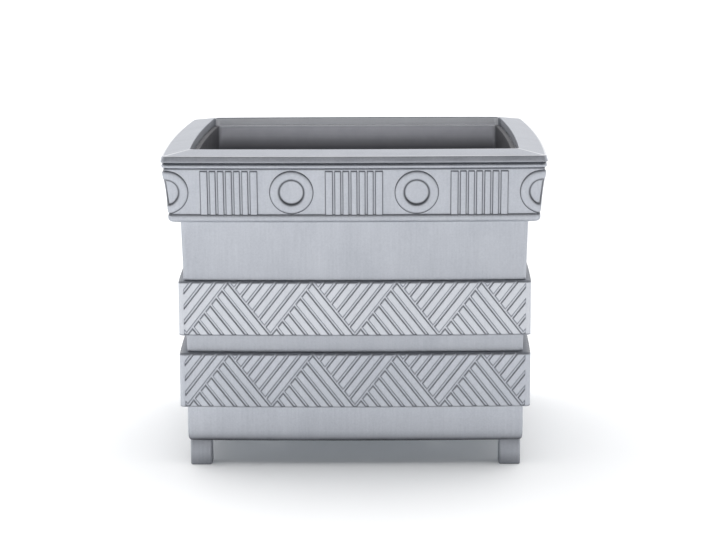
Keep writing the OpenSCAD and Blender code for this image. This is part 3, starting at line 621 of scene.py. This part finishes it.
def buildRim():
    x, z, height, toneAndPaintedLight = (v[::-1] for v in friezeGrid())
    up, inner, lipRun = rimRows()
    # Below the squares of the roundels the lip stands out in front of the frieze
    onLip = z < rim["ringFoot"] - near
    half = np.maximum(friezeFace(z) + height, np.where(onLip, lipFace(z), 0))
    rest, wide = np.vstack([up, inner, lipRun]), x.shape[1]
    half = np.vstack([half, np.repeat(rest[:, [0]], wide, 1)])
    level = np.vstack([z, np.repeat(rest[:, [1]], wide, 1)])
    rounding = np.concatenate([np.full(len(x), rim["friezeRounding"]), rest[:, 2]])[:, None]
    columns = np.vstack([x, np.repeat(x[:1], len(rest), 0)])
    shiftFrom = np.concatenate([np.full(len(x), rimEnd - rim["shiftLast"]),
                                np.full(len(rest), shiftInside * rimEnd)])
    shell = casting((half, level, rounding), columns, rimEnd, shiftFrom[:, None])
    lip, ledge, foot, clear = values(planter, "lip", "ledgeLow", "friezeFoot", "lugClear")
    split, lugAt = rim["lugSplit"], planter["lugHalf"] + planter["rimLugOut"]
    lugs = lug(lip + clear, split + clear, foot - rim["lugIn"], lugAt) \
        + lug(split, ledge + clear, foot + rim["lugOut"], lugAt)
    allToneAndLight = np.zeros(half.shape)
    allToneAndLight[:len(x)] = np.maximum(toneAndPaintedLight, rimToneAndLight["frieze"])
    allToneAndLight[-len(lipRun):] = rimToneAndLight["lip"]
    return fourSides("rim", [shell] + lugs,
                     *rimPaintedLight(half, level, rimEnd - np.abs(columns), allToneAndLight))


# Liner: folded sheet with a flange that lies on the rim's ledge
liner = dict(
    half=246.3, corner=18.0, thick=2.0, low=61.0, fold=4.0, middle=240, shoulder=411.8,
    topHalf=251.0, topCorner=9.0, flangeHalf=256.0, flangeCorner=14.0, bend=2.0,
    soft=0.5, inSoft=0.6, floorShares=(0.02, 0.5, 0.9), drops=(6, 18, 28, 40, 56),
    sidePoints=33, cornerPoints=13)
# Inside the liner painted shade on its floor, its left and right walls, its flange, and deeper
# down by millimetres under it; outside an evenly darker tone
linerToneAndShade = dict(
    outside=0.5, floor=0.55, sides=0.97, flange=0.75, edge=0.15,
    downAt=[0, 6, 18, 28, 40, 56, 130, 420],
    down=[0, 0, 0.18, 0.52, 0.82, 0.95, 0.8, 0.55])
drains = dict(
    wide=16.0, span=130.0, sides=32, below=3, above=6,
    places=((0, 0), (1, 1), (1, -1), (-1, 1), (-1, -1)))


def linerPath(half, corner, swell):
    # A square with rounded corners, its sides swelling by the planter's bow times swell
    straight = half - corner
    flat = np.linspace(-1, 1, liner["sidePoints"]) * straight
    turn = np.linspace(0, math.pi / 2, liner["cornerPoints"])[1:-1]
    sagitta = swell * half ** 2 / (2 * (half + bowAxis))
    side = np.column_stack([flat, -half - sagitta * (1 - (flat / half) ** 2)])
    bend = np.column_stack([straight + corner * np.sin(turn),
                            -straight - corner * np.cos(turn)])
    run = np.vstack([side, bend])
    return np.vstack([turned(run, quarter) for quarter in range(4)])


def linerRows():
    # (half, corner, level, swell) from the middle of the floor outside, up, over the flange's
    # edge and down inside; the number of rows before the flange, and of those in its bend
    t, low, half, corner, fold, shoulder, middle, e, shares = values(
        liner, "thick", "low", "half", "corner", "fold", "shoulder", "middle", "soft",
        "floorShares")
    topHalf, topCorner, reach, reachCorner, bend = values(
        liner, "topHalf", "topCorner", "flangeHalf", "flangeCorner", "bend")
    under, high = planter["ledgeTop"], planter["ledgeTop"] + t
    quarter = np.radians(np.linspace(0, 90, 7))
    rows = [(half * share, corner * share, low, 0) for share in shares]
    rows += [(half - fold + fold * math.sin(a), corner, low + fold - fold * math.cos(a), 0)
             for a in quarter]
    rows += [(half, corner, middle, 0), (half, corner, shoulder - e, 0),
             (half + e, corner - e, shoulder, 0.1), (topHalf - e, topCorner, shoulder, 1),
             (topHalf, topCorner, shoulder + e, 1), (topHalf, topCorner, under - e, 1),
             (topHalf + e, topCorner + e, under, 1)]
    first = len(rows)
    rows += [(reach - e, reachCorner, under, 1), (reach, reachCorner, under + e, 1),
             (reach, reachCorner, high - e, 1), (reach - e, reachCorner, high, 1)]
    inside, insideCorner = topHalf - t, topCorner - t
    rows += [(inside + bend * (1 - math.sin(a)), insideCorner + bend * (1 - math.sin(a)),
              high - bend * (1 - math.cos(a)), 1) for a in quarter]
    rows += [(inside, insideCorner, high - drop, 1) for drop in liner["drops"]]
    e, sill = liner["inSoft"], shoulder + t
    rows += [(inside, insideCorner, sill + e, 1), (inside - e, insideCorner, sill, 1)]
    inside, insideCorner = half - t, corner - t
    rows += [(inside + e, insideCorner, sill, 0.1), (inside, insideCorner, sill - e, 0),
             (inside, insideCorner, middle, 0)]
    inner = fold - t + e
    rows += [(inside - inner + inner * math.sin(a), insideCorner,
              low + t + inner - inner * math.cos(a), 0) for a in quarter[::-1]]
    rows += [(inside * share, insideCorner * share, low + t, 0) for share in shares[::-1]]
    return rows, first, len(quarter)


def linerPaintedShade(plans, level, first, bend):
    # Inside it gets painted shade that deepens further down, and painted shadow on the flange
    # along its outer edge. The walls to the left and right get more painted shade than those in
    # front and behind.
    high = planter["ledgeTop"] + liner["thick"]
    deep = np.full(len(level), linerToneAndShade["outside"])
    deep[first + 3:] = np.interp(high - level[first + 3:, 0], linerToneAndShade["downAt"],
                                 linerToneAndShade["down"])
    deep[first:first + 4] = linerToneAndShade["flange"]
    deep[first + 4:first + 4 + bend] = np.linspace(linerToneAndShade["flange"], linerToneAndShade["edge"], bend)
    deep = np.repeat(deep[:, None], level.shape[1], 1)
    x, y = np.abs(plans[..., 0]), np.abs(plans[..., 1])
    aside = np.clip((x - y) / liner["corner"] + 0.5, 0, 1)
    sideShade = np.maximum(deep, linerToneAndShade["sides"] * aside * (level > liner["shoulder"]))
    deep[first + 2:] = sideShade[first + 2:]
    return deep


def buildLiner():
    rows, first, bend = linerRows()
    low, t = values(liner, "low", "thick")
    plans = np.stack([linerPath(half, corner, swell) for half, corner, _, swell in rows])
    count, width = plans.shape[:2]
    level = np.repeat(np.array([row[2] for row in rows])[:, None], width, 1)
    points = np.vstack([np.column_stack([plans.reshape(-1, 2), level.ravel()]),
                        [[0, 0, low], [0, 0, low + t]]])
    triangles = outward(points, tubeTriangles(count, width))
    toneAndPaintedLight = np.append(linerPaintedShade(plans, level, first, bend),
                     [linerToneAndShade["outside"], linerToneAndShade["floor"]])
    piece = meshPiece("liner_sheet_box", points, triangles, "liner", ["liner"],
                      toneAndPaintedLight)
    cutDrains(piece)
    # The cut leaves new points on the floor without their painted shade
    mesh = piece.data
    shadeValues = mesh.attributes["toneAndPaintedLight"].data
    place, kept = np.empty(len(mesh.vertices) * 3), np.empty(len(mesh.vertices))
    mesh.vertices.foreach_get("co", place)
    shadeValues.foreach_get("value", kept)
    onFloor = np.abs(place[2::3] / toMetres - low - t) < 1
    shadeValues.foreach_set("value", np.where(onFloor, linerToneAndShade["floor"], kept))
    return piece


def cutDrains(piece):
    span, r = drains["span"], drains["wide"] / 2
    turn = np.linspace(0, 2 * math.pi, drains["sides"] + 1)[:-1]
    points, triangles = joined([
        prism(np.column_stack([sx * span + r * np.cos(turn), sy * span + r * np.sin(turn)]),
              liner["low"] - drains["below"], liner["low"] + drains["above"])
        for sx, sy in drains["places"]])
    mesh = bpy.data.meshes.new("drains")
    mesh.from_pydata((points * toMetres).tolist(), [], triangles.tolist())
    cutter = newObject("drains", mesh)
    cut = piece.modifiers.new("drains", "BOOLEAN")
    cut.operation, cut.solver, cut.object = "DIFFERENCE", "EXACT", cutter
    bpy.context.view_layer.update()
    ready = piece.evaluated_get(bpy.context.evaluated_depsgraph_get())
    done = bpy.data.meshes.new_from_object(ready)
    piece.modifiers.clear()
    piece.data = done
    bpy.data.objects.remove(cutter)
    done.set_sharp_from_angle(angle=crease)


# Feet: cast blocks with soft edges, evenly darker, with painted shade towards the floor
foot = dict(
    wide=34.0, high=42.0, at=246.5, rounding=4.0, leastRounding=0.8, edge=1.6,
    topEdge=(0.6, 1.0), cornerPoints=7, toneAndPaintedLight=0.3, footShade=0.45, footHigh=4)


def buildFeet():
    r, e, h, at, count = values(foot, "rounding", "edge", "high", "at", "cornerPoints")
    turn, half = np.linspace(0, math.pi / 2, count), foot["wide"] / 2
    topIn, topDown = foot["topEdge"]
    rows = [(-e * 2.2, 0.0), (-e, 0.0)] + [(-e + e * math.sin(a), e - e * math.cos(a))
                                          for a in np.radians([30, 60, 90])]
    rows += [(0, h * 0.5), (0, h - topDown), (-topIn, h)]
    rings = []
    for inset, z in rows:
        corner = max(r + inset, foot["leastRounding"])
        centre = half + inset - corner
        bend = np.column_stack([centre + corner * np.sin(turn), -centre - corner * np.cos(turn)])
        plan = np.vstack([turned(bend, quarter) for quarter in range(4)])
        rings.append(np.column_stack([plan, np.full(len(plan), z)]))
    points = np.vstack(rings + [[[0, 0, 0], [0, 0, h]]])
    triangles = outward(points, tubeTriangles(len(rings), len(rings[0])))
    toneAndPaintedLight = foot["toneAndPaintedLight"] + np.clip(1 - points[:, 2] / foot["footHigh"], 0, 1) * foot["footShade"]
    return [meshPiece(f"foot_{name}_casting", points + [x, y, 0], triangles, "planter",
                      [f"foot_{name}"], toneAndPaintedLight)
            for name, x, y in (("front_left", -at, -at), ("front_right", at, -at),
                               ("back_left", -at, at), ("back_right", at, at))]


# Shader sums: a wire is a socket that Python's operators add Math nodes to
class Wire:
    def __init__(self, graph, socket):
        self.graph, self.socket = graph, socket

    def maths(self, operation, other, clamp=False):
        return self.graph.node("ShaderNodeMath", {"operation": operation, "use_clamp": clamp},
                               {0: self, 1: other}).out(0)

    def __add__(self, other):
        return self.maths("ADD", other)

    def __sub__(self, other):
        return self.maths("SUBTRACT", other)

    def __mul__(self, other):
        return self.maths("MULTIPLY", other)

    __radd__, __rmul__ = __add__, __mul__

    def clipped(self):
        return self.maths("ADD", 0.0, clamp=True)


class Made:
    def __init__(self, graph, node):
        self.graph, self.node = graph, node

    def out(self, key):
        return Wire(self.graph, self.node.outputs[key])


class Graph:
    def __init__(self, tree):
        self.tree = tree
        tree.nodes.clear()

    def node(self, kind, settings=None, inputs=None):
        made = self.tree.nodes.new(kind)
        for key, value in (settings or {}).items():
            if key == "stops":
                ramp = made.color_ramp
                for i, (place, shade) in enumerate(value):
                    stop = ramp.elements[i] if i < 2 else ramp.elements.new(place)
                    stop.position, stop.color = place, (*shade, 1)
            else:
                setattr(made, key, value)
        for key, value in (inputs or {}).items():
            if isinstance(value, Wire):
                self.tree.links.new(value.socket, made.inputs[key])
            else:
                made.inputs[key].default_value = value
        return Made(self, made)

    def place(self, output="Object"):
        return self.node("ShaderNodeTexCoord").out(output)

    def toneAndPaintedLight(self):
        return self.node("ShaderNodeAttribute", {"attribute_name": "toneAndPaintedLight"}).out("Fac")

    def noise(self, place, scale=1.0, detail=3.0, roughness=0.55):
        return self.node("ShaderNodeTexNoise", {}, {
            "Vector": place, "Scale": scale, "Detail": detail, "Roughness": roughness}).out("Fac")

    def stretched(self, place, scale):
        return self.node("ShaderNodeVectorMath", {"operation": "MULTIPLY"},
                         {0: place, 1: scale}).out("Vector")

    def mixed(self, factor, first, second):
        first, second = (colour if isinstance(colour, Wire) else (*colour, 1)
                         for colour in (first, second))
        return self.node("ShaderNodeMix", {"data_type": "RGBA", "blend_type": "MIX"},
                         {0: factor, 6: first, 7: second}).out(2)

    def bump(self, height, strength, distance):
        return self.node("ShaderNodeBump", {}, {"Height": height, "Strength": strength,
                                                "Distance": distance}).out("Normal")

    def surface(self, inputs):
        shader = self.node("ShaderNodeBsdfPrincipled", {}, inputs)
        self.node("ShaderNodeOutputMaterial", {}, {"Surface": shader.out("BSDF")})


def newMaterial(name):
    material = bpy.data.materials.new(name)
    material.use_nodes = True
    return material, Graph(material.node_tree)


# Tones of each finish, of its painted shade and darkening, and of its painted highlight
castTones = dict(
    dark=(0.448, 0.470, 0.517), pale=(0.634, 0.656, 0.704),
    shadeAndDarkening=(0.06, 0.062, 0.07), paintedHighlight=(0.92, 0.93, 0.95))
sheetTones = dict(dark=(0.71, 0.72, 0.78), pale=(0.92, 0.93, 0.98), shadeAndDarkening=(0.03, 0.03, 0.035))
zincTones = dict(dark=(0.50, 0.49, 0.45), pale=(0.72, 0.73, 0.75))


def castAluminium():
    # Sand-cast aluminium, tumbled and left bare: a fine grain and faint flow marks. By each
    # point's value it turns towards a dark grey, mostly as painted shade in corners and grooves,
    # and towards near white as painted highlights on edges.
    material, g = newMaterial("sand_cast_aluminium")
    place = g.place()
    grain = g.noise(place, 900, 2.0)
    pits = g.noise(place, 330, 3.0, 0.6)
    cloud = g.noise(place, 14, 4.0, 0.6)
    flow = g.noise(g.stretched(place, (30, 30, 5)))
    streaks = g.noise(g.stretched(place, (330, 330, 14)), detail=2.0)
    toneAndPaintedLight = g.toneAndPaintedLight()
    tone = (cloud * 0.9 + flow * 0.4 + pits * 0.8 + streaks * 0.4 - 0.75).clipped()
    kept = (toneAndPaintedLight * (0.7 + 0.5 * cloud)).clipped()
    paintedHighlight = (toneAndPaintedLight * -1.0).clipped()
    colour = g.mixed(tone, castTones["dark"], castTones["pale"])
    colour = g.mixed(kept, colour, castTones["shadeAndDarkening"])
    colour = g.mixed(paintedHighlight, colour, castTones["paintedHighlight"])
    g.surface({
        "Base Color": colour, "Metallic": 0.92,
        "Roughness": (0.34 + 0.10 * cloud + 0.10 * pits + 0.25 * kept - 0.1 * paintedHighlight).clipped(),
        "Normal": g.bump(grain * 0.5 + pits * 0.9 + cloud * 1.2, 0.35, 0.0004)})
    return material


def linerSheet():
    # Galvanised sheet, dulled: soft mottling and fine rolling marks, with painted shade further
    # down
    material, g = newMaterial("dull_sheet")
    place = g.place()
    mottle = g.noise(place, 45)
    marks = g.noise(g.stretched(place, (8, 8, 320)), detail=2.0)
    tone = (mottle * 0.8 + marks * 0.3 - 0.05).clipped()
    colour = g.mixed(tone, sheetTones["dark"], sheetTones["pale"])
    g.surface({
        "Base Color": g.mixed(g.toneAndPaintedLight().clipped(), colour, sheetTones["shadeAndDarkening"]),
        "Roughness": 0.5 + 0.16 * mottle, "Metallic": 0.1,
        "Normal": g.bump(mottle + 0.4 * marks, 0.25, 0.0003)})
    return material


def zincSteel():
    # Zinc-plated bolts: brighter, with fine turning marks and a little staining
    material, g = newMaterial("zinc_plated_steel")
    place = g.place()
    stain = g.noise(place, 180)
    marks = g.noise(g.stretched(place, (300, 300, 2600)), detail=1.0)
    tone = (stain * 1.1 - 0.05).clipped()
    g.surface({
        "Base Color": g.mixed(tone, zincTones["dark"], zincTones["pale"]),
        "Roughness": 0.24 + 0.22 * stain, "Metallic": 1.0,
        "Normal": g.bump(marks, 0.2, 0.0001)})
    return material


# Studio: a disc for the floor, the room as tones by height, in front and behind, and one lamp
studio = dict(
    sides=96, rings=(1.0, 3.0, 9.0, 40.0), dark=(0.79, 0.79, 0.79),
    pale=(0.91, 0.91, 0.91), glow=(0.085, 0.092, 0.096, 1), turnOver=0.25,
    front=[(0.0, (1.0, 1.0, 1.0)), (1.0, (0.45, 0.45, 0.46)),
           (0.12, (0.9, 0.9, 0.91)), (0.34, (0.10, 0.10, 0.105)),
           (0.70, (0.12, 0.12, 0.125)), (0.90, (0.45, 0.45, 0.46))],
    back=[(0.0, (1.0, 1.0, 1.0)), (1.0, (0.45, 0.45, 0.46)),
          (0.60, (1.2, 1.2, 1.21)), (0.80, (0.45, 0.45, 0.46))],
    lamp=dict(energy=2.8, angle=92, tilt=-14))


def buildFloor():
    count = studio["sides"]
    turn = np.linspace(0, 2 * math.pi, count + 1)[:-1]
    points = [(0, 0, 0)] + [(r * math.cos(a), r * math.sin(a), 0) for r in studio["rings"]
                            for a in turn]
    faces = [(0, 1 + i, 1 + (i + 1) % count) for i in range(count)]
    for ring in range(len(studio["rings"]) - 1):
        for i in range(count):
            k, n = 1 + ring * count + i, 1 + ring * count + (i + 1) % count
            faces.append((k, k + count, n + count, n))
    mesh = bpy.data.meshes.new("floor")
    mesh.from_pydata(points, [], faces)
    floor = newObject("studio_floor", mesh)
    material, g = newMaterial("studio_floor")
    place = g.place()
    # Painted light falloff: evenly less bright from the left to the right
    across = g.node("ShaderNodeSeparateXYZ", {}, {0: place}).out("X")
    share = (g.noise(place, 3) * 0.2 - 0.7 * across + 0.4).clipped()
    # The floor's faint glow is painted light that lifts the shadow under the planter
    g.surface({
        "Base Color": g.mixed(share, studio["dark"], studio["pale"]), "Roughness": 0.8,
        "Emission Color": studio["glow"], "Emission Strength": 1.0})
    mesh.materials.append(material)


def buildRoom():
    # White near the floor all round and high up behind, dark in front, and grey overhead
    world = bpy.data.worlds.new("studio")
    world.use_nodes = True
    bpy.context.scene.world = world
    g = Graph(world.node_tree)
    axes = g.node("ShaderNodeSeparateXYZ", {}, {0: g.place("Generated")})
    front, back = (g.node("ShaderNodeValToRGB", {"stops": studio[key]},
                          {"Fac": axes.out("Z").clipped()}).out("Color")
                   for key in ("front", "back"))
    side = g.node("ShaderNodeMapRange", {"interpolation_type": "SMOOTHSTEP"}, {
        "Value": axes.out("Y"), "From Min": -studio["turnOver"],
        "From Max": studio["turnOver"]}).out("Result")
    sky = g.node("ShaderNodeBackground", {}, {
        "Color": g.mixed(side, front, back), "Strength": 1.0})
    g.node("ShaderNodeOutputWorld", {}, {"Surface": sky.out("Background")})


def buildLamp():
    # A broad light from above and a little behind, which whitens the floor and leaves a soft
    # shadow on it; it isn't mirrored in the metal
    energy, angle, tilt = values(studio["lamp"], "energy", "angle", "tilt")
    light = bpy.data.lights.new("broad_light", "SUN")
    light.energy, light.angle = energy, math.radians(angle)
    lamp = newObject("broad_light", light)
    lamp.rotation_euler = (math.radians(tilt), 0, 0)
    lamp.visible_glossy = False
    bpy.context.scene.view_settings.view_transform = "Standard"


# The photograph's own viewpoint, fitted to the planter's edges and levels
photoView = dict(
    wide=716, focal=2096.6, sensor=36, clip=100, yaw=-0.009, pitch=0.168,
    roll=-0.004, at=(0.0347, -3.5216, 0.8681))


def buildCamera():
    yaw, pitch, roll, sensor = values(photoView, "yaw", "pitch", "roll", "sensor")
    data = bpy.data.cameras.new("photo_camera")
    data.sensor_width, data.clip_end = sensor, photoView["clip"]
    data.lens = photoView["focal"] * sensor / photoView["wide"]
    camera = newObject("photo_camera", data)
    ahead = np.array([math.sin(yaw) * math.cos(pitch), math.cos(yaw) * math.cos(pitch),
                      -math.sin(pitch)])
    right = np.array([math.cos(yaw), -math.sin(yaw), 0])
    over = np.cross(right, ahead)
    frameOf = np.eye(4)
    frameOf[:3, 0] = math.cos(roll) * right + math.sin(roll) * over
    frameOf[:3, 1] = math.cos(roll) * over - math.sin(roll) * right
    frameOf[:3, 2] = -ahead
    frameOf[:3, 3] = photoView["at"]
    camera.matrix_world = Matrix(frameOf.tolist())
    bpy.context.scene.camera = camera


buildCamera()
castings = buildCollar() + buildUpperBand() + buildBaseBand() + buildRim() + buildFeet()
print("castings built")
linerBox = buildLiner()
print("liner built")

aluminium, sheet, zinc = castAluminium(), linerSheet(), zincSteel()
for piece in castings:
    piece.data.materials.append(aluminium)
linerBox.data.materials.clear()
linerBox.data.materials.append(sheet)
for name, finish in (("floor_plate", aluminium), ("corner_bolts", zinc), ("corner_nuts", zinc),
                     ("tier_bolts", zinc), ("tier_nuts", zinc), ("floor_screws", zinc),
                     ("foot_screws", zinc)):
    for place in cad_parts[name].material_slots:
        place.material = finish
print("finishes set")
buildFloor()
buildRoom()
buildLamp()
print("studio built")
